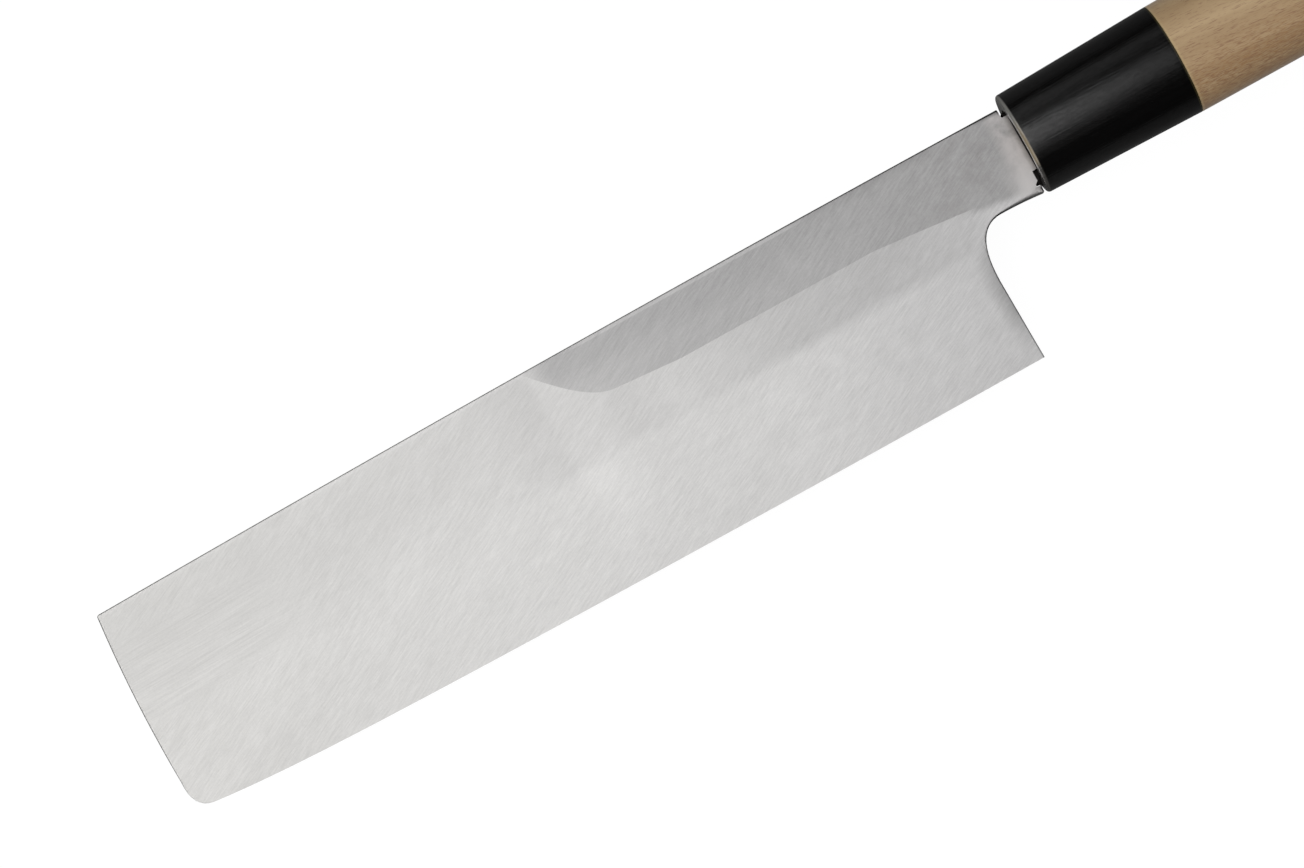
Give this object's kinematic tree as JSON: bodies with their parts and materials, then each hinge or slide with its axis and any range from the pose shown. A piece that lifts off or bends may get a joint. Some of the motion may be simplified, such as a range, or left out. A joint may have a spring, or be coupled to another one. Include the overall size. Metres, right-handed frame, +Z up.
{
  "type": "usuba knife",
  "caption": "Square-tipped vegetable knife: a straight-edged, single-bevel blade with a hollow-ground back, its tang driven into an oval wooden handle with a dark horn ferrule.",
  "frame": {"origin": "on the table, under the middle of the knife's bounding box", "axes": "+X along the knife from the tip towards the butt, +Y from the edge towards the spine, +Z up out of the bevelled face"},
  "size_m": [0.3264, 0.0488, 0.0249],
  "materials": {
    "soft_iron": "ground to a satin grain that runs slantwise across the face",
    "hard_steel": "ground to a satin grain that runs slantwise across the face",
    "horn": "polished to a soft sheen",
    "magnolia_wood": "sanded and left bare",
    "dark_resin": "set drop, dull"
  },
  "bodies": {
    "root": {"blade_body": "soft_iron", "cutting_steel": "hard_steel", "ferrule": "horn", "handle": "magnolia_wood", "tang_resin": "dark_resin"}
  },
  "joints": []
}
